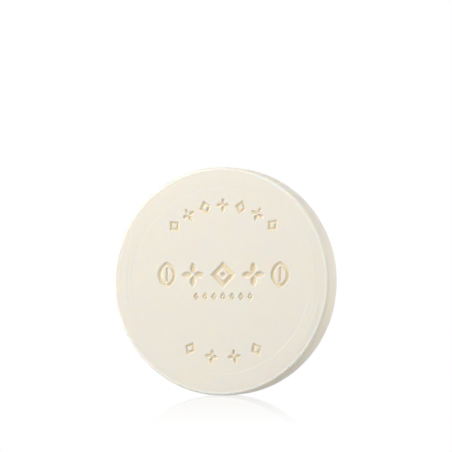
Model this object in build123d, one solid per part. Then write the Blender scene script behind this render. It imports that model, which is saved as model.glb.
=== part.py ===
from build123d import *
import os
from math import hypot, sqrt

# A shaving soap puck: one pressed disc of hard soap, standing on its rim.
# Millimetres, +Z up. The disc's axis lies along Y, the stamped face looks towards -Y, and the origin
# is the middle of the small flat on the rim that the disc stands on.

# Driving dimensions
DIAMETER = 92.0  # across the rim
THICKNESS = 13.0  # from the top of the witness ridge to the plain back
FACE_EDGE_RADIUS = 1.4  # rounding between the stamped face and the rim
BACK_EDGE_RADIUS = 2.4  # rounding between the back and the rim
REST_FLAT = 7.0  # width of the flat where the soap's rim has settled under its own weight
SHOULDER_WIDTH = 2.8  # the outer band of each side, which falls away towards the edge
SHOULDER_DROP = 0.14  # how far that band has fallen where the edge rounding starts
RIDGE_DIAMETER = 75.0  # the fine raised ring that the pressing die's insert leaves
RIDGE_WIDTH = 0.8
RIDGE_HEIGHT = 0.06
RIDGE_OFFSET = 0.5  # how far the insert sat to the right of the disc's centre
STAMP_OFFSET = 1.5  # how far the ornament sits to the right of the disc's centre
STAMP_DEPTH = 0.8  # of the largest marks; finer ones are shallower, as stamp_depth() says

# The band of large marks, across the middle of the face
BAND_RISE = 2.6  # above the disc's centre
BAND_HEIGHT = 10.3
BAND_STROKE = 1.66
MEDALLION_WIDTH = 10.4
MEDALLION_DOT = 1.9
FLOWER_PLACE = 12.9  # from the middle of the band, to either side, as is the next one
LEAF_PLACE = 24.2
LEAF_WIDTH = 7.6
LEAF_STROKE = 1.25
LEAF_RIB = 0.85
PETAL_LENGTH = 4.3
PETAL_WIDTH = 2.3
PETAL_GAP = 0.45  # from the flower's middle to where a petal starts

# The row of small diamonds under the band
ROW_RISE = -6.2
ROW_WIDTH = 25.5
ROW_COUNT = 7
ROW_HEIGHT = 3.36
ROW_MARK_WIDTH = 2.5
ROW_STROKE = 0.7

# The two arcs of small marks, diamonds and small flowers in turn
ARC_RADIUS = 30.6  # from the ornament's centre to the marks' middles
ARC_HEIGHT = 5.5
ARC_STROKE = 1.0
ARC_DIAMOND_WIDTH = 4.8
ARC_FLOWER_SCALE = 0.58  # of the flower in the band
TOP_COUNT = 7
TOP_SPACING = 14.4  # degrees
BOTTOM_COUNT = 4
BOTTOM_SPACING = 18.3  # degrees

RADIUS = DIAMETER / 2
BACK = THICKNESS / 2
FACE = -THICKNESS / 2 + RIDGE_HEIGHT  # the level of the stamped face itself
CENTRE_HEIGHT = sqrt(RADIUS**2 - (REST_FLAT / 2) ** 2)


def stamp_depth(stroke):
    """How deep a mark of this stroke is pressed."""
    return STAMP_DEPTH * min(1, 0.4 + 0.4 * stroke)


def diamond(width, height, stroke):
    """A diamond's outline, with points up, down, left and right."""
    corners = [(width / 2, 0), (0, height / 2), (-width / 2, 0), (0, -height / 2)]
    inner = 1 - 2 * stroke * hypot(width, height) / (width * height)
    hole = [(x * inner, y * inner) for x, y in corners]
    return Polygon(*corners, align=None) - Polygon(*hole, align=None)


def pointed_oval(width, height, inset=0):
    """The lens where two equal circles overlap, its points up and down, shrunk all round by inset."""
    radius = (width**2 + height**2) / (4 * width)
    centre = radius - width / 2
    circles = [Pos(x, 0) * Circle(radius - inset) for x in (-centre, centre)]
    return circles[0] & circles[1]


def leaf():
    """A leaf's outline, points up and down, with a midrib."""
    outline = pointed_oval(LEAF_WIDTH, BAND_HEIGHT) - pointed_oval(LEAF_WIDTH, BAND_HEIGHT, LEAF_STROKE)
    return outline + Rectangle(LEAF_RIB, BAND_HEIGHT * 0.55)


def flower(scale=1.0):
    """Four solid petals round an open middle."""
    petal = pointed_oval(PETAL_WIDTH * scale, PETAL_LENGTH * scale)
    reach = (PETAL_GAP + PETAL_LENGTH / 2) * scale
    return [Rot(0, 0, turn) * Pos(0, reach) * petal for turn in range(0, 360, 90)]


def cuts(marks, place, stroke):
    """The solids that press these marks into the face."""
    face = Plane(origin=(STAMP_OFFSET, FACE, 0), x_dir=(1, 0, 0), z_dir=(0, -1, 0))
    return [extrude(face * place * mark, amount=-stamp_depth(stroke)) for mark in marks]


def band():
    """The large marks: a medallion between flowers and leaves."""
    medallion = [diamond(MEDALLION_WIDTH, BAND_HEIGHT, BAND_STROKE), Circle(MEDALLION_DOT / 2)]
    solids = cuts(medallion, Pos(0, BAND_RISE), BAND_STROKE)
    for side in (-1, 1):
        solids += cuts(flower(), Pos(side * FLOWER_PLACE, BAND_RISE), BAND_STROKE)
        solids += cuts([leaf()], Pos(side * LEAF_PLACE, BAND_RISE), LEAF_STROKE)
    return solids


def row():
    """The small diamonds under the band."""
    pitch = (ROW_WIDTH - ROW_MARK_WIDTH) / (ROW_COUNT - 1)
    mark = diamond(ROW_MARK_WIDTH, ROW_HEIGHT, ROW_STROKE)
    places = [Pos((i - (ROW_COUNT - 1) / 2) * pitch, ROW_RISE) for i in range(ROW_COUNT)]
    return [solid for place in places for solid in cuts([mark], place, ROW_STROKE)]


def arc(count, spacing, middle):
    """Diamonds and flowers in turn, standing out from the ornament's centre; middle is in degrees."""
    shapes = ([diamond(ARC_DIAMOND_WIDTH, ARC_HEIGHT, ARC_STROKE)], flower(ARC_FLOWER_SCALE))
    solids = []
    for i in range(count):
        from_end = min(i, count - 1 - i)  # so that the arc is the same from either end
        turn = middle - 90 + ((count - 1) / 2 - i) * spacing
        solids += cuts(shapes[from_end % 2], Rot(0, 0, turn) * Pos(0, ARC_RADIUS), ARC_STROKE)
    return solids


def half_section(level, into, edge_radius):
    """One side's outline from the axis to the rim; into is the way along Y that leads into the soap."""
    edge_start = RADIUS - edge_radius
    shoulder_start = edge_start - SHOULDER_WIDTH
    fallen = level + into * SHOULDER_DROP
    middle = ((shoulder_start + edge_start) / 2, level + into * SHOULDER_DROP / 4)
    corner = (RADIUS, fallen + into * edge_radius)
    side = Line((0, level), (shoulder_start, level))
    side += ThreePointArc((shoulder_start, level), middle, (edge_start, fallen))
    return side + RadiusArc((edge_start, fallen), corner, -into * edge_radius), corner


def blank():
    """The disc before it is stamped, turned from half its section, with the witness ridge."""
    face_side, face_corner = half_section(FACE, 1, FACE_EDGE_RADIUS)
    back_side, back_corner = half_section(BACK, -1, BACK_EDGE_RADIUS)
    section = face_side + Line(face_corner, back_corner) + back_side + Line((0, BACK), (0, FACE))
    disc = revolve(make_face(section), Axis.Y)

    half = RIDGE_WIDTH / 2
    crest = ThreePointArc((RIDGE_DIAMETER / 2 - half, FACE),
                          (RIDGE_DIAMETER / 2, FACE - RIDGE_HEIGHT),
                          (RIDGE_DIAMETER / 2 + half, FACE))
    foot = Polyline(crest @ 1, (RIDGE_DIAMETER / 2 + half, FACE + RIDGE_HEIGHT),
                    (RIDGE_DIAMETER / 2 - half, FACE + RIDGE_HEIGHT), crest @ 0)
    ridge = Pos(RIDGE_OFFSET, 0, 0) * revolve(make_face(crest + foot), Axis.Y)
    return disc + ridge


def soap_puck():
    """The stamped disc, lifted to stand on the flat of its rim."""
    marks = band() + row() + arc(TOP_COUNT, TOP_SPACING, 90) + arc(BOTTOM_COUNT, BOTTOM_SPACING, -90)
    floor = Pos(0, 0, -CENTRE_HEIGHT) * Box(DIAMETER, DIAMETER, RADIUS,
                                            align=(Align.CENTER, Align.CENTER, Align.MAX))
    return Pos(0, 0, CENTRE_HEIGHT) * (blank() - marks - floor)


os.makedirs("parts", exist_ok=True)
puck = soap_puck()
puck.label = "soap_puck"
export_step(puck, "parts/soap_puck.step")
print(f"soap_puck: {puck.volume / 1000:.1f} cm3")
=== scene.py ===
"""The looks of the shaving soap puck: one pressed cake of cream-coloured soap on a white floor.

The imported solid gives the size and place. Its detailed mesh is built here: the stamped face is a relief
worked out from the marks' outlines, triangulated finely where it is steep and coarsely where it is flat.
Lengths are millimetres about the puck's own centre, unless a name or comment says otherwise:
x to the right and z up, as someone who reads the face sees it, and y away from that reader.
"""
from math import ceil, cos, hypot, pi, radians, sin, sqrt, tau

import bpy
import numpy as np
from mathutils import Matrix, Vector
from mathutils.geometry import delaunay_2d_cdt


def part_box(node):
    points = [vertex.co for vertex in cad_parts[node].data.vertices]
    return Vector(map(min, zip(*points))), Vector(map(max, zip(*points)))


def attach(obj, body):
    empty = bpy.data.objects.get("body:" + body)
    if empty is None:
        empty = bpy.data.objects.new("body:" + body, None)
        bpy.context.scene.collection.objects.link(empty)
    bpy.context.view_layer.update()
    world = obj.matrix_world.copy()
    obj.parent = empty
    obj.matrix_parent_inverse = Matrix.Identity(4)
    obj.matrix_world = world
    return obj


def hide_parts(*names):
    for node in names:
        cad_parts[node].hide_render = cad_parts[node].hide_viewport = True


MM = 0.001
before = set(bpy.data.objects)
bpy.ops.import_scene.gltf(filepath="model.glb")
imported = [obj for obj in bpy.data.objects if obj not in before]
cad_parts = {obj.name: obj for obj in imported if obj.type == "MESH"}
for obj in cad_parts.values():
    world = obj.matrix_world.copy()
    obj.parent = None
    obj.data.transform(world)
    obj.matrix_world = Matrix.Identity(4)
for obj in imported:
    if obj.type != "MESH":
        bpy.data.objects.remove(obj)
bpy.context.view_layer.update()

# ---- The puck ----
low, high = (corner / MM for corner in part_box("soap_puck"))
RIDGE_HEIGHT = 0.06  # of the witness ridge, which is what stands out furthest on the face
RADIUS = (high.x - low.x) / 2
CENTRE_HEIGHT = high.z - RADIUS  # a little under the radius, because it stands on a small flat
CENTRE = Vector((0, 0, CENTRE_HEIGHT * MM))  # in metres, as the frame is
FACE = low.y + RIDGE_HEIGHT
BACK = high.y

FACE_EDGE_RADIUS = 1.4  # of the rounded edges
BACK_EDGE_RADIUS = 2.4
FACE_EDGE_START = RADIUS - FACE_EDGE_RADIUS
BACK_EDGE_START = RADIUS - BACK_EDGE_RADIUS
SHOULDER_WIDTH = 2.8  # the outer band of each side, which falls away towards the edge
SHOULDER_DROP = 0.14
RIDGE_RADIUS = 37.5
RIDGE_WIDTH = 0.8
RIDGE_OFFSET = 0.5  # how far the ridge's centre, and then the stamp's, is to the right of the puck's
STAMP_OFFSET = 1.5
STAMP_DEPTH = 0.8  # of the largest marks

# ---- The stamped ornament ----
BAND_RISE = 2.6  # of the large marks, above the puck's centre
BAND_HEIGHT = 10.3
BAND_STROKE = 1.66
MEDALLION_WIDTH = 10.4
MEDALLION_DOT = 1.9
FLOWER_PLACE = 12.9  # from the middle of the band, to either side
LEAF_PLACE = 24.2
LEAF_WIDTH = 7.6
LEAF_STROKE = 1.25
LEAF_RIB = 0.85
PETAL_LENGTH = 4.3
PETAL_WIDTH = 2.3
PETAL_GAP = 0.45

ROW_RISE = -6.2
ROW_WIDTH = 25.5
ROW_COUNT = 7
ROW_HEIGHT = 3.36
ROW_MARK_WIDTH = 2.5
ROW_STROKE = 0.7

ARC_RADIUS = 30.6  # from the stamp's centre to the middles of the small marks
ARC_HEIGHT = 5.5
ARC_STROKE = 1.0
ARC_DIAMOND_WIDTH = 4.8
ARC_FLOWER_SCALE = 0.58
TOP_COUNT = 7
TOP_SPACING = 14.4  # degrees
BOTTOM_COUNT = 4
BOTTOM_SPACING = 18.3

# ---- The mesh ----
FINEST_CELL = 0.14
COARSEST_CELL = 16 * FINEST_CELL
RIM_COUNT = 540  # points round the rim, and round each ring of points on the sides
EDGE_ROWS = 9  # of points, over each rounded edge
WALL_ROWS = 17  # spaces between the rows of points across the wall
FIRST_RINGS = (0, 0.15, 0.32, 0.52, 0.76)  # how far inside a rounded edge each ring of points is
RINGS_END = 1.0  # and how far inside it the square cells start


def smooth(t):
    """0 to 1 as t is, with eased ends."""
    t = np.clip(t, 0, 1)
    return t * t * (3 - 2 * t)


# ---------------------------------------------------------------- the marks' outlines
# Each function gives, at points (x, z), the distance outside the mark, negative inside it.

def diamond(width, height):
    a, b = width / 2, height / 2
    return lambda x, z: (b * np.abs(x) + a * np.abs(z) - a * b) / hypot(a, b)


def pointed_oval(width, height):
    radius = (width**2 + height**2) / (4 * width)
    centre = radius - width / 2
    return lambda x, z: np.hypot(np.abs(x) + centre, z) - radius


def disc(radius):
    return lambda x, z: np.hypot(x, z) - radius


def bar(width, height):
    return lambda x, z: np.maximum(np.abs(x) - width / 2, np.abs(z) - height / 2)


def outline(shape, stroke):
    """The band of this width just inside the shape's edge."""
    def distance(x, z):
        d = shape(x, z)
        return np.maximum(d, -stroke - d)
    return distance


def both(first, second):
    return lambda x, z: np.minimum(first(x, z), second(x, z))


def flower(scale=1.0):
    petal = pointed_oval(PETAL_WIDTH * scale, PETAL_LENGTH * scale)
    reach = (PETAL_GAP + PETAL_LENGTH / 2) * scale

    def distance(x, z):
        x, z = np.abs(x), np.abs(z)
        return np.minimum(petal(x, z - reach), petal(z, x - reach))
    return distance


def all_marks():
    """(centre x, centre z, turn in radians, distance function, stroke) of every pressed mark."""
    medallion = both(outline(diamond(MEDALLION_WIDTH, BAND_HEIGHT), BAND_STROKE),
                     disc(MEDALLION_DOT / 2))
    leaf = both(outline(pointed_oval(LEAF_WIDTH, BAND_HEIGHT), LEAF_STROKE),
                bar(LEAF_RIB, BAND_HEIGHT * 0.55))
    marks = [(0, BAND_RISE, 0, medallion, BAND_STROKE)]
    for side in (-1, 1):
        marks += [(side * FLOWER_PLACE, BAND_RISE, 0, flower(), BAND_STROKE),
                  (side * LEAF_PLACE, BAND_RISE, 0, leaf, LEAF_STROKE)]
    small = outline(diamond(ROW_MARK_WIDTH, ROW_HEIGHT), ROW_STROKE)
    pitch = (ROW_WIDTH - ROW_MARK_WIDTH) / (ROW_COUNT - 1)
    marks += [((i - (ROW_COUNT - 1) / 2) * pitch, ROW_RISE, 0, small, ROW_STROKE) for i in range(ROW_COUNT)]
    shapes = (outline(diamond(ARC_DIAMOND_WIDTH, ARC_HEIGHT), ARC_STROKE), flower(ARC_FLOWER_SCALE))
    for count, spacing, middle in ((TOP_COUNT, TOP_SPACING, 90), (BOTTOM_COUNT, BOTTOM_SPACING, -90)):
        for i in range(count):
            angle = radians(middle + ((count - 1) / 2 - i) * spacing)
            marks.append((ARC_RADIUS * cos(angle), ARC_RADIUS * sin(angle), angle - pi / 2,
                          shapes[min(i, count - 1 - i) % 2], ARC_STROKE))
    return marks


MARKS = all_marks()
MARK_REACH = 8.0  # no mark is larger than this from its own centre


def wall_half_width(stroke):
    """Half the width of the sloping wall round a mark of this stroke."""
    return 0.2 * stroke + 0.03


def stamp_depth(stroke):
    """How deep a mark of this stroke is pressed."""
    return STAMP_DEPTH * min(1.0, 0.4 + 0.4 * stroke)


def pressed(x, z):
    """How deep the stamp is pressed in, that as a share of the mark's full depth, and how near an edge is."""
    depth, share = np.zeros_like(x), np.zeros_like(x)
    nearest = np.full_like(x, RADIUS)
    for cx, cz, turn, shape, stroke in MARKS:
        dx, dz = x - STAMP_OFFSET - cx, z - cz
        near = np.hypot(dx, dz) < MARK_REACH
        dx, dz = dx[near], dz[near]
        d = shape(dx * cos(turn) + dz * sin(turn), dz * cos(turn) - dx * sin(turn))
        wall = wall_half_width(stroke)
        sunk = smooth((wall - d) / (2 * wall))
        depth[near] = np.maximum(depth[near], stamp_depth(stroke) * sunk)
        share[near] = np.maximum(share[near], sunk)
        nearest[near] = np.minimum(nearest[near], np.abs(d))
    return depth, share, nearest


# ---------------------------------------------------------------- unevenness and wear

def ripples(seed, count, shortest, longest):
    """A smooth random surface of about unit height: sine waves with random lengths, runs and phases."""
    rng = np.random.default_rng(seed)
    lengths = np.exp(rng.uniform(np.log(shortest), np.log(longest), count))
    runs = rng.uniform(-pi, pi, count)
    phases = rng.uniform(0, tau, count)

    def surface(x, z):
        total = np.zeros_like(x)
        for length, run, phase in zip(lengths, runs, phases):
            total += np.sin((x * cos(run) + z * sin(run)) * tau / length + phase)
        return total * sqrt(2 / count)
    return surface


swell = ripples(seed=11, count=14, shortest=18, longest=60)
unevenness = ripples(seed=12, count=24, shortest=3, longest=12)
CLEAN_DEPTH = 0.2  # where the stamp is pressed in by this much, it has left no blemishes
FACE_SWELL, FACE_UNEVENNESS = 0.012, 0.003  # how deep those two surfaces hollow each side
BACK_SWELL, BACK_UNEVENNESS = 0.03, 0.005


def blemishes(seed, pits, dings, scratches):
    """(x, z, direction, half length, half width, depth) of small hollows in one side."""
    rng = np.random.default_rng(seed)
    # how many, then the ranges of half lengths, half widths and depths
    kinds = ((pits, (0, 0), (0.14, 0.3), (0.03, 0.09)),
             (dings, (0, 0.6), (0.8, 1.9), (0.015, 0.04)),
             (scratches, (0.8, 3.2), (0.1, 0.18), (0.008, 0.022)))
    found = []
    for count, half_lengths, half_widths, depths in kinds:
        for _ in range(count):
            r, a = (BACK_EDGE_START - 1) * sqrt(rng.uniform()), rng.uniform(0, tau)
            found.append((r * cos(a), r * sin(a), rng.uniform(0, pi), rng.uniform(*half_lengths),
                          rng.uniform(*half_widths), rng.uniform(*depths)))
    return found


FACE_WEAR = blemishes(seed=21, pits=34, dings=9, scratches=12)
BACK_WEAR = blemishes(seed=22, pits=22, dings=12, scratches=16)


def grown(finest, growth, distance):
    """A cell of the finest size, and larger by this growth for each mm of distance."""
    return finest + growth * np.maximum(distance, 0)


def worn(wear, x, z):
    """How deep the blemishes are, in mm, and the finest mesh cell that they need."""
    depth = np.zeros_like(x)
    cell = np.full_like(x, COARSEST_CELL)
    for cx, cz, direction, half_length, half_width, deepest in wear:
        dx, dz = x - cx, z - cz
        along = dx * cos(direction) + dz * sin(direction)
        across = dz * cos(direction) - dx * sin(direction)
        d = np.hypot(np.maximum(np.abs(along) - half_length, 0), across)
        depth = np.maximum(depth, deepest * smooth(1.5 - d / half_width))
        cell = np.minimum(cell, grown(0.5 * half_width, 0.4, d - 2 * half_width))
    return depth, cell


def shoulder(r, edge_start):
    """How far a side has fallen away towards its rounded edge."""
    t = np.clip((r - (edge_start - SHOULDER_WIDTH)) / SHOULDER_WIDTH, 0, 1)
    return SHOULDER_DROP * t * t


LIP_RADIUS = 45.0  # the fine burr that the face die leaves round its edge, below the face's own level
LIP_WIDTH = 0.65
LIP_HEIGHT = 0.18


def lip(r):
    """How high the burr is."""
    return LIP_HEIGHT * np.exp(-(((r - LIP_RADIUS) / (LIP_WIDTH / 2)) ** 2))


RIDGE_CLEAREST = -48.0  # degrees round from the right; it is as clear on the other side


def off_ridge(x, z):
    """The distance from the witness ridge's crest."""
    return np.abs(np.hypot(x - RIDGE_OFFSET, z) - RIDGE_RADIUS)


def ridge(x, z):
    """1 along the witness ridge's crest, and less where it has worn away between its clearest places."""
    across = off_ridge(x, z) / (RIDGE_WIDTH / 2)
    clear = 0.5 + 0.5 * np.cos(2 * (np.arctan2(z, x) - radians(RIDGE_CLEAREST)))
    return smooth(1 - across) * (0.15 + 0.85 * clear**2)


def face_height(x, z):
    """How far the stamped face stands out from its own level, and the stamp's share of its depth there."""
    r = np.hypot(x, z)
    depth, share, _ = pressed(x, z)
    hollows = FACE_SWELL * np.minimum(swell(x, z), 0)
    hollows += FACE_UNEVENNESS * np.minimum(unevenness(x, z), 0)
    hollows -= worn(FACE_WEAR, x, z)[0] * smooth(1 - depth / CLEAN_DEPTH)
    level = RIDGE_HEIGHT * ridge(x, z) + lip(r) - shoulder(r, FACE_EDGE_START)
    return level - depth + smooth((FACE_EDGE_START - r) / 2) * hollows, share


def back_height(x, z):
    """The same for the plain back, where x is measured from left to right as seen from the face."""
    r = np.hypot(x, z)
    hollows = BACK_SWELL * np.minimum(swell(z, x), 0)
    hollows += BACK_UNEVENNESS * np.minimum(unevenness(z, x), 0)
    hollows -= worn(BACK_WEAR, x, z)[0]
    return smooth((BACK_EDGE_START - r) / 2) * hollows - shoulder(r, BACK_EDGE_START)


# ---------------------------------------------------------------- the mesh

def face_cell(x, z):
    """The size of the mesh's cells at (x, z): finest on the walls of the marks."""
    _, _, nearest = pressed(x, z)
    from_edge = FACE_EDGE_START - np.hypot(x, z)
    size = grown(FINEST_CELL, 0.4, nearest - 0.4)
    size = np.minimum(size, grown(0.3, 0.3, off_ridge(x, z) - 0.6))
    size = np.minimum(size, grown(0.45, 0.3, from_edge))
    return np.minimum(size, worn(FACE_WEAR, x, z)[1])


def back_cell(x, z):
    from_edge = BACK_EDGE_START - np.hypot(x, z)
    return np.minimum(grown(0.6, 0.3, from_edge), np.maximum(worn(BACK_WEAR, x, z)[1], 0.3))


def graded_points(wanted_cell):
    """The middles of square cells, split in four until each is as small as wanted_cell says."""
    cell = COARSEST_CELL
    half = ceil(RADIUS / cell) * cell
    steps = np.arange(-half + cell / 2, half, cell)
    x, z = (grid.ravel() for grid in np.meshgrid(steps, steps))
    kept = []
    while x.size:
        split = (wanted_cell(x, z) < cell * 0.9) & (cell > FINEST_CELL * 1.3)
        kept.append(np.stack([x[~split], z[~split]], 1))
        x, z = x[split], z[split]
        cell /= 2
        offsets = [(i * cell / 2, j * cell / 2) for i in (-1, 1) for j in (-1, 1)]
        x, z = (np.concatenate([c + o[k] for o in offsets]) for k, c in enumerate((x, z)))
    return np.concatenate(kept)


def circle(radius, centre=0.0):
    a = np.arange(RIM_COUNT) * tau / RIM_COUNT
    return np.stack([centre + radius * np.cos(a), radius * np.sin(a)], 1)


def triangulate(edge_start, points):
    """A disc of triangles out to a rounded edge. Its first points are the rim's."""
    rings = [circle(edge_start - step) for step in FIRST_RINGS]
    inside = points[np.hypot(*points.T) < edge_start - RINGS_END]
    flat = np.concatenate([*rings, inside])
    found = delaunay_2d_cdt([Vector(p) for p in flat.tolist()], [], [], 0, 1e-7, False)
    return np.array([v[:] for v in found[0]]), np.array(found[2])


def front_sheet():
    """The stamped face out to where the edge rounding starts."""
    points = graded_points(face_cell)
    # rings of points follow the ridge instead of square cells, so that its crest is smooth
    clear = off_ridge(*points.T) > RIDGE_WIDTH / 2 + 0.15
    rings = [circle(RIDGE_RADIUS + step * RIDGE_WIDTH / 8, RIDGE_OFFSET) for step in range(-5, 6)]
    points = np.concatenate([points[clear], *rings])
    flat, faces = triangulate(FACE_EDGE_START, points)
    height, share = face_height(*flat.T)
    return np.column_stack([flat[:, 0], FACE - height, flat[:, 1]]), faces, share


def back_sheet():
    flat, faces = triangulate(BACK_EDGE_START, graded_points(back_cell))
    return np.column_stack([flat[:, 0], BACK + back_height(*flat.T), flat[:, 1]]), faces[:, ::-1]


# How the rim's wall is worn: along is the distance round it from the right-hand side, in mm
wall_wobble = ripples(seed=13, count=24, shortest=5, longest=40)
wall_lines = ripples(seed=14, count=20, shortest=0.8, longest=3)
SEAM_DEPTH = 0.11  # of the fine line beside the front edge, where the mould's halves met
SEAM_WIDTH = 1.2
SEAM_PLACE = low.y + FACE_EDGE_RADIUS + 0.5
SCORED = 0.85  # where the middle of the wall's scored stretch is, as a share of the way round it
SCUFF_ANGLE = 52.0  # degrees round from the right: a long shallow scrape along the wall
SCUFF_PLACE = 0.8  # its y
SCUFF_LENGTH = 17.0
SCUFF_WIDTH = 2.4
SCUFF_DEPTH = 0.16


def rim_nicks(seed, count):
    """(distance round, y, radius, depth) of small knocks on the two rounded edges."""
    rng = np.random.default_rng(seed)
    edges = (low.y + FACE_EDGE_RADIUS / 2, BACK - BACK_EDGE_RADIUS / 2)
    return [(rng.uniform(0, tau * RADIUS), rng.choice(edges), rng.uniform(0.5, 1.3),
             rng.uniform(0.04, 0.12)) for _ in range(count)]


RIM_NICKS = rim_nicks(seed=23, count=16)


def seam(y):
    """1 along the middle of the seam, and less to either side."""
    return np.exp(-(((y - SEAM_PLACE) / (SEAM_WIDTH / 2)) ** 2))


def low_on_right(along):
    """1 where the wall is scored by fine lines, at the lower right, and 0 elsewhere."""
    apart = np.abs((along / (tau * RADIUS) - SCORED + 0.5) % 1 - 0.5)
    return smooth(2.4 - 14 * apart)


def wall_scores(along, y):
    """Fine lines nearly parallel to the rim, each as high as 1."""
    a = along / RADIUS
    return np.clip(wall_lines(1.5 * np.cos(a), y + 1.5 * np.sin(a)), 0, 1)


def rim_wear(along, y):
    """How far the rim has worn inwards at this distance round and this y."""
    y = np.full_like(along, y)
    a = along / RADIUS
    wear = 0.03 * np.maximum(wall_wobble(RADIUS * np.cos(a), RADIUS * np.sin(a) + 3 * y), 0)
    wear += (0.008 + 0.03 * low_on_right(along)) * wall_scores(along, y)
    wear += SEAM_DEPTH * seam(y)
    scuff_along = (along - radians(SCUFF_ANGLE) * RADIUS) / (SCUFF_LENGTH / 2)
    wear += SCUFF_DEPTH * np.exp(-scuff_along**4) * np.exp(-(((y - SCUFF_PLACE) / (SCUFF_WIDTH / 2)) ** 2))
    for place, nick_y, radius, deepest in RIM_NICKS:
        apart = np.abs(along - place)
        apart = np.minimum(apart, tau * RADIUS - apart)
        wear += deepest * smooth(1.2 - np.hypot(apart, y - nick_y) / radius)
    return wear


def rim_rows():
    """The rows of points from the face's rim, over both rounded edges, to the back's rim."""
    front = FACE + SHOULDER_DROP
    back = BACK - SHOULDER_DROP
    quarter = [k * pi / 2 / EDGE_ROWS for k in range(1, EDGE_ROWS + 1)]
    rows = [(FACE_EDGE_START + FACE_EDGE_RADIUS * sin(a), front + FACE_EDGE_RADIUS * (1 - cos(a)),
             FACE_EDGE_START) for a in quarter]
    wall = np.linspace(front + FACE_EDGE_RADIUS, back - BACK_EDGE_RADIUS, WALL_ROWS + 1)[1:-1]
    rows += [(RADIUS, y, FACE_EDGE_START) for y in wall]
    rows += [(BACK_EDGE_START + BACK_EDGE_RADIUS * sin(a), back - BACK_EDGE_RADIUS * (1 - cos(a)),
              BACK_EDGE_START) for a in reversed(quarter)]
    angles = np.arange(RIM_COUNT) * tau / RIM_COUNT
    points = []
    for r, y, edge_start in rows:
        outwards = (r - edge_start) / (RADIUS - edge_start)
        worn_r = r - outwards * rim_wear(angles * RADIUS, y)
        up = np.maximum(worn_r * np.sin(angles), -CENTRE_HEIGHT)
        with_lip = y - (lip(r) if y < SEAM_PLACE else 0)
        points.append(np.column_stack([worn_r * np.cos(angles), np.full(RIM_COUNT, with_lip), up]))
    return points


def wall_painted_shade(rim):
    """The wall's share of the tan painted shade: a little all over, more in the seam's groove, and low on the
    right, most in its scored lines.
    """
    on_wall = np.clip((np.hypot(rim[:, 0], rim[:, 2]) - FACE_EDGE_START) / FACE_EDGE_RADIUS, 0, 1)
    along = (np.arctan2(rim[:, 2], rim[:, 0]) % tau) * RADIUS
    scored_shade = low_on_right(along) * (0.08 + 0.3 * wall_scores(along, rim[:, 1]))
    return on_wall * (0.4 + 0.3 * seam(rim[:, 1]) + scored_shade)


def painted_highlight_share(points):
    """How much painted highlight the soap gets: along the burr, and less on the ridge and the back edge."""
    r = np.hypot(points[:, 0], points[:, 2])
    front = np.exp(-(((r - LIP_RADIUS - 0.1) / 0.4) ** 2)) * (points[:, 1] < SEAM_PLACE)
    back = 0.5 * np.exp(-(((r - BACK_EDGE_START - 1.7) / 0.9) ** 2)) * (points[:, 1] > 0)
    crest = 0.6 * ridge(points[:, 0], points[:, 2]) * (points[:, 1] < SEAM_PLACE)
    return front + back + crest


def puck_mesh():
    """One closed skin, with how deep the stamp is, which sets its painted shade, and how much painted
    highlight the soap has at each point.
    """
    front, front_faces, share = front_sheet()
    back, back_faces = back_sheet()
    rows = rim_rows()
    back_start = len(front) + len(rows) * RIM_COUNT
    starts = [0, *range(len(front), back_start + 1, RIM_COUNT)]
    i = np.arange(RIM_COUNT)
    j = (i + 1) % RIM_COUNT
    quads = [np.column_stack([b + i, b + j, a + j, a + i]) for a, b in zip(starts, starts[1:])]
    points = np.concatenate([front, *rows, back])
    faces = front_faces.tolist() + np.concatenate(quads).tolist() + (back_faces + back_start).tolist()
    # the painted shade of the stamp's recesses and of the rim's wall
    painted_shade = np.concatenate([share, wall_painted_shade(points[len(front):back_start]), np.zeros(len(back))])

    mesh = bpy.data.meshes.new("soap_puck_detail")
    lifted = (points + (0, 0, CENTRE_HEIGHT)) * MM
    mesh.from_pydata(lifted.tolist(), [], faces)
    for name, values in (("painted_shade", painted_shade), ("painted_highlight", painted_highlight_share(points))):
        attribute = mesh.attributes.new(name, "FLOAT", "POINT")
        attribute.data.foreach_set("value", values.astype(np.float32))
    mesh.shade_smooth()
    return mesh


# ---------------------------------------------------------------- materials

CREAM = (0.870, 0.820, 0.736)
COOLER_CREAM = (0.864, 0.822, 0.740)
WARMER_CREAM = (0.876, 0.817, 0.731)
SHADE_AND_SPECK_TAN = (0.86, 0.745, 0.54)  # painted shade where the stamp is deep, and the colour of a few specks
HIGHLIGHT_COLOUR = (0.965, 0.95, 0.90)  # painted highlight along the burr, the ridge's crest and the back edge

# The finest relief: how many features to the mm, and how high they are in mm
GRAIN_PER_MM, GRAIN_HEIGHT = 1.6, 0.014
WAX_PER_MM, WAX_HEIGHT = 0.45, 0.03
RINGS_STRETCH, RINGS_HEIGHT = (1.2, 0.7, 1.2), 0.3  # 0.7 to the mm outwards, and only a few all round
DRAGS_PER_MM, DRAGS_HEIGHT = (0.05, 0.05, 0.7), 0.08

FLOOR_GLOSS = 0.3  # the share that the floor mirrors under the puck
GLOSS_REACH = 0.24  # how far away, in metres, it has faded to nothing


def new_material(name):
    material = bpy.data.materials.new(name)
    material.use_nodes = True
    material.node_tree.nodes.clear()
    return material, material.node_tree


def add(tree, kind, **values):
    """A node, with its sockets set by name (underscores for spaces) or its properties in lower case."""
    node = tree.nodes.new(kind)
    for key, value in values.items():
        if key[0].isupper():
            node.inputs[key.replace("_", " ")].default_value = value
        else:
            setattr(node, key, value)
    return node


def surface(tree, shader):
    """Makes this shader the material's surface."""
    out = add(tree, "ShaderNodeOutputMaterial")
    tree.links.new(shader.outputs[0], out.inputs["Surface"])


def set_or_link(tree, value, socket):
    if isinstance(value, bpy.types.NodeSocket):
        tree.links.new(value, socket)
    else:
        socket.default_value = value


def calc(tree, operation, first, second=0.0):
    node = add(tree, "ShaderNodeMath", operation=operation)
    set_or_link(tree, first, node.inputs[0])
    set_or_link(tree, second, node.inputs[1])
    return node.outputs[0]


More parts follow.
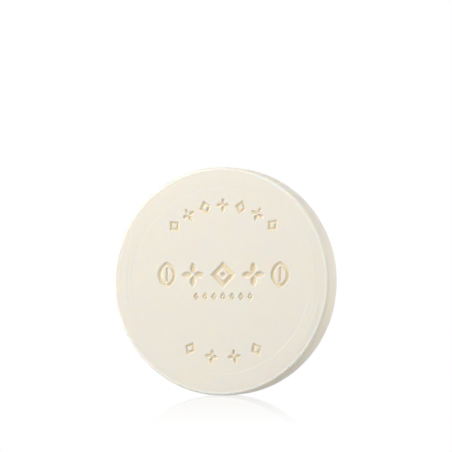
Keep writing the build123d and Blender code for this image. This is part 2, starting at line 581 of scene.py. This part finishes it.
def carried(tree, value, low, high, to_low, to_high):
    """The value eased from one range to another, and held at its ends."""
    node = add(tree, "ShaderNodeMapRange", interpolation_type="SMOOTHSTEP", From_Min=low, From_Max=high,
               To_Min=to_low, To_Max=to_high)
    tree.links.new(value, node.inputs["Value"])
    return node.outputs[0]


def noise(tree, place, per_mm, detail=2.0):
    """Noise about 0.5, with this many features to the mm; three numbers stretch it."""
    stretch = per_mm if isinstance(per_mm, tuple) else (per_mm,) * 3
    stretched = add(tree, "ShaderNodeVectorMath", operation="MULTIPLY")
    tree.links.new(place, stretched.inputs[0])
    stretched.inputs[1].default_value = stretch
    node = add(tree, "ShaderNodeTexNoise", Scale=1.0, Detail=detail)
    tree.links.new(stretched.outputs[0], node.inputs["Vector"])
    return node.outputs["Fac"]


def ramp(tree, value, *stops):
    """Colours at places from 0 to 1 along the value."""
    node = add(tree, "ShaderNodeValToRGB")
    points = node.color_ramp.elements
    while len(points) < len(stops):
        points.new(0.5)
    for point, (place, colour) in zip(points, stops):
        point.position = place
        point.color = (*colour, 1)
    tree.links.new(value, node.inputs["Fac"])
    return node.outputs["Color"]


def blended(tree, share, first, second):
    """One colour, turning into the other as share goes from 0 to 1."""
    node = add(tree, "ShaderNodeMix", data_type="RGBA")
    tree.links.new(share, node.inputs[0])
    set_or_link(tree, first, node.inputs[6])
    set_or_link(tree, second, node.inputs[7])
    return node.outputs[2]


def soap_places(tree):
    """What the looks depend on, in mm and from the puck's centre.

    These are the place, its distance from the axis, a place for ring lines, how far up the rim its
    direction points (-1 to 1), and its height.
    """
    own = add(tree, "ShaderNodeTexCoord")
    centred = add(tree, "ShaderNodeMapping")
    centred.inputs["Scale"].default_value = (1 / MM, 1 / MM, 1 / MM)
    centred.inputs["Location"].default_value = (0, 0, -CENTRE_HEIGHT)
    tree.links.new(own.outputs["Object"], centred.inputs["Vector"])
    place = centred.outputs[0]
    flat = add(tree, "ShaderNodeVectorMath", operation="MULTIPLY")
    tree.links.new(place, flat.inputs[0])
    flat.inputs[1].default_value = (1, 0, 1)
    length = add(tree, "ShaderNodeVectorMath", operation="LENGTH")
    tree.links.new(flat.outputs[0], length.inputs[0])
    radius = length.outputs["Value"]
    # going round the axis, this place moves slowly; going out or back, it moves fast
    turn = add(tree, "ShaderNodeVectorMath", operation="NORMALIZE")
    tree.links.new(flat.outputs[0], turn.inputs[0])
    parts = add(tree, "ShaderNodeSeparateXYZ")
    tree.links.new(turn.outputs[0], parts.inputs[0])
    axes = add(tree, "ShaderNodeSeparateXYZ")
    tree.links.new(place, axes.inputs[0])
    lines = add(tree, "ShaderNodeCombineXYZ")
    tree.links.new(parts.outputs["X"], lines.inputs["X"])
    tree.links.new(parts.outputs["Z"], lines.inputs["Z"])
    tree.links.new(calc(tree, "ADD", radius, axes.outputs["Y"]), lines.inputs["Y"])
    return place, radius, lines.outputs[0], parts.outputs["Z"], axes.outputs["Z"]


def soap_bump(tree, place, radius, ring_place, upness, height):
    """The finest relief, in mm: waxy grain, ring lines near the rim and drag lines low on the face."""
    grain = calc(tree, "MULTIPLY", noise(tree, place, GRAIN_PER_MM, 3.0), GRAIN_HEIGHT)
    wax = calc(tree, "MULTIPLY", noise(tree, place, WAX_PER_MM), WAX_HEIGHT)
    sides = carried(tree, calc(tree, "ABSOLUTE", upness), 0.35, 0.9, 1.0, 0.15)
    outside = carried(tree, radius, RIDGE_RADIUS - 1.5, RIDGE_RADIUS + 3, 0.05, 1.0)
    wall = carried(tree, radius, FACE_EDGE_START + 0.5, RADIUS, 0.0, 1.5)
    rings = calc(tree, "MULTIPLY", noise(tree, ring_place, RINGS_STRETCH, 3.0),
                 calc(tree, "MAXIMUM", calc(tree, "MULTIPLY", sides, outside), wall))
    low_inside = calc(tree, "MULTIPLY", carried(tree, height, 2, -10, 0.0, 1.0),
                      carried(tree, radius, 18, RIDGE_RADIUS, 1.0, 0.1))
    drags = calc(tree, "MULTIPLY", noise(tree, place, DRAGS_PER_MM),
                 calc(tree, "MULTIPLY", low_inside, DRAGS_HEIGHT))
    total = calc(tree, "ADD", calc(tree, "ADD", grain, wax),
                 calc(tree, "ADD", calc(tree, "MULTIPLY", rings, RINGS_HEIGHT), drags))
    bump = add(tree, "ShaderNodeBump", Strength=1.0, Distance=MM)
    tree.links.new(total, bump.inputs["Height"])
    return bump.outputs[0]


def soap():
    """Cream soap that lets a little light in, mottled very faintly, with tan painted shade where the stamp is
    deep and a painted highlight along its edges.
    """
    material, tree = new_material("soap")
    link = tree.links.new
    shader = add(tree, "ShaderNodeBsdfPrincipled", IOR=1.46, Specular_IOR_Level=0.25,
                 Subsurface_Weight=0.5, Subsurface_Scale=0.0008)
    shader.inputs["Subsurface Radius"].default_value = (1.0, 0.7, 0.35)
    place, radius, ring_place, upness, height = soap_places(tree)

    mottle = calc(tree, "ADD", calc(tree, "MULTIPLY", noise(tree, place, 0.07), 0.7),
                  calc(tree, "MULTIPLY", noise(tree, place, 0.32), 0.3))
    body = ramp(tree, mottle, (0.36, COOLER_CREAM), (0.5, CREAM), (0.64, WARMER_CREAM))
    painted_shade = add(tree, "ShaderNodeAttribute", attribute_name="painted_shade")
    deep = carried(tree, painted_shade.outputs["Fac"], 0.3, 1.0, 0.0, 1.0)
    speckle = carried(tree, noise(tree, place, 3.2, 4.0), 0.66, 0.80, 0.0, 0.35)
    stained = blended(tree, speckle, body, (*SHADE_AND_SPECK_TAN, 1))
    # painted highlight: paler in patches along the burr, on the ridge's crest and round the back edge
    painted_highlight = add(tree, "ShaderNodeAttribute", attribute_name="painted_highlight")
    patchy = carried(tree, noise(tree, place, 0.2), 0.3, 0.7, 0.55, 1.0)
    highlight_amount = calc(tree, "MULTIPLY", painted_highlight.outputs["Fac"], patchy)
    highlighted = blended(tree, highlight_amount, stained, (*HIGHLIGHT_COLOUR, 1))
    # painted shade: the base colour turns tan where the stamp is deep, and a little on the rim's wall
    link(blended(tree, deep, highlighted, (*SHADE_AND_SPECK_TAN, 1)), shader.inputs["Base Color"])

    polish = calc(tree, "ADD", calc(tree, "MULTIPLY", noise(tree, place, 0.25, 3.0), 0.16), 0.38)
    rough_wall = carried(tree, radius, FACE_EDGE_START, RADIUS - 0.3, 0.0, 0.28)
    rough = calc(tree, "ADD", rough_wall, calc(tree, "MULTIPLY", deep, 0.12))
    link(calc(tree, "ADD", polish, rough), shader.inputs["Roughness"])
    link(soap_bump(tree, place, radius, ring_place, upness, height), shader.inputs["Normal"])
    surface(tree, shader)
    return material


def white_floor():
    """White, with a reflection that fades further away."""
    material, tree = new_material("white_floor")
    link = tree.links.new
    glow = add(tree, "ShaderNodeEmission", Strength=1.0)
    mirror = add(tree, "ShaderNodeBsdfGlossy", Color=(1, 1, 1, 1), Roughness=0.02)
    place = add(tree, "ShaderNodeTexCoord")
    away = add(tree, "ShaderNodeVectorMath", operation="LENGTH")
    link(place.outputs["Object"], away.inputs[0])
    fade = add(tree, "ShaderNodeMapRange", From_Max=GLOSS_REACH, To_Min=FLOOR_GLOSS, To_Max=0.0)
    link(away.outputs["Value"], fade.inputs["Value"])
    mix = add(tree, "ShaderNodeMixShader")
    link(fade.outputs[0], mix.inputs["Fac"])
    link(glow.outputs[0], mix.inputs[1])
    link(mirror.outputs[0], mix.inputs[2])
    surface(tree, mix)
    return material


def white_backdrop():
    material, tree = new_material("white_backdrop")
    surface(tree, add(tree, "ShaderNodeEmission", Strength=1.0))
    return material


# ---------------------------------------------------------------- the studio

FLOOR_HALF = 4.0  # these two in metres
BACKDROP_RADIUS = 5.0

WARM = (1.0, 0.98, 0.94)
COOL = (0.97, 1.0, 0.995)

CAMERA_AZIMUTH = 19.93  # degrees to the right of the stamped face
CAMERA_ELEVATION = -0.34
CAMERA_DISTANCE = 1.0152  # this one and the next two in metres
AIM_RIGHT = 0.00043  # how far beside the puck's centre, and above it, the camera is aimed
AIM_ABOVE = 0.02236


def link_object(name, data):
    obj = bpy.data.objects.new(name, data)
    bpy.context.scene.collection.objects.link(obj)
    return obj


def studio():
    """A plain white floor and a backdrop all round. They show in the puck's gloss, but cast no shadow."""
    mesh = bpy.data.meshes.new("floor")
    corners = [(x * FLOOR_HALF, y * FLOOR_HALF, 0) for x, y in ((-1, -1), (1, -1), (1, 1), (-1, 1))]
    mesh.from_pydata(corners, [], [(0, 1, 2, 3)])
    mesh.materials.append(white_floor())
    floor = link_object("floor", mesh)
    bpy.ops.mesh.primitive_uv_sphere_add(radius=BACKDROP_RADIUS, segments=48, ring_count=24)
    backdrop = bpy.context.object
    backdrop.name = "backdrop"
    backdrop.data.materials.append(white_backdrop())
    for piece in (floor, backdrop):
        piece.visible_diffuse = False
        piece.visible_shadow = False


def bearing(azimuth, elevation):
    """The way from the puck at these degrees. Azimuth 0 is in front of its face, 90 to the face's right."""
    a, e = radians(azimuth), radians(elevation)
    return Vector((sin(a) * cos(e), -cos(a) * cos(e), sin(e)))


def point(obj, along):
    """Turns a light or a camera to look this way, upright."""
    obj.rotation_euler = along.to_track_quat("-Z", "Y").to_euler()


def area_light(name, azimuth, elevation, distance, size, power, colour=(1, 1, 1)):
    """A square soft light aimed at the puck's middle. Distance and size are in metres."""
    data = bpy.data.lights.new(name, "AREA")
    data.size = size
    data.energy = power
    data.color = colour
    light = link_object(name, data)
    away = bearing(azimuth, elevation)
    light.location = CENTRE + away * distance
    point(light, -away)
    light.visible_glossy = False


def sky(zenith, horizon, nadir):
    """The light from all round; what comes from below stands for the bounce off the white floor."""
    world = bpy.data.worlds.new("studio")
    world.use_nodes = True
    tree = world.node_tree
    tree.nodes.clear()
    place = add(tree, "ShaderNodeTexCoord")
    split = add(tree, "ShaderNodeSeparateXYZ")
    tree.links.new(place.outputs["Generated"], split.inputs[0])
    level = add(tree, "ShaderNodeMapRange", From_Min=-1, From_Max=1)
    tree.links.new(split.outputs["Z"], level.inputs["Value"])
    glow = add(tree, "ShaderNodeBackground")
    shades = ramp(tree, level.outputs[0], (0, (nadir,) * 3), (0.5, (horizon,) * 3), (1, (zenith,) * 3))
    tree.links.new(shades, glow.inputs["Color"])
    out = add(tree, "ShaderNodeOutputWorld")
    tree.links.new(glow.outputs[0], out.inputs["Surface"])
    bpy.context.scene.world = world


def camera():
    """A long lens a little below the height of the puck's centre, to the right of the stamped face."""
    data = bpy.data.cameras.new("camera")
    data.lens = 200
    data.sensor_width = 36
    data.clip_end = 20
    eye = link_object("camera", data)
    eye.location = CENTRE + bearing(CAMERA_AZIMUTH, CAMERA_ELEVATION) * CAMERA_DISTANCE
    # the puck stands low in the frame, and slightly left
    right = bearing(CAMERA_AZIMUTH + 90, 0)
    target = CENTRE + right * AIM_RIGHT + Vector((0, 0, AIM_ABOVE))
    point(eye, target - eye.location)
    bpy.context.scene.camera = eye


camera()
sky(zenith=0.0, horizon=0.0, nadir=0.56)
area_light("key", azimuth=-45, elevation=40, distance=0.8, size=0.4, power=4.6, colour=WARM)
area_light("front", azimuth=0, elevation=15, distance=0.9, size=0.5, power=3.15, colour=COOL)
area_light("right", azimuth=75, elevation=10, distance=0.8, size=0.5, power=1.8, colour=COOL)
area_light("behind_right", azimuth=120, elevation=20, distance=0.8, size=0.5, power=3.5, colour=WARM)
area_light("behind", azimuth=-160, elevation=12, distance=0.8, size=0.4, power=4.5)
area_light("bounce", azimuth=-75, elevation=-30, distance=0.8, size=0.5, power=2.1)
studio()
bpy.context.scene.view_settings.view_transform = "Standard"

puck = link_object("soap_cake", puck_mesh())
puck.data.materials.append(soap())
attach(puck, "root")
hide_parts("soap_puck")
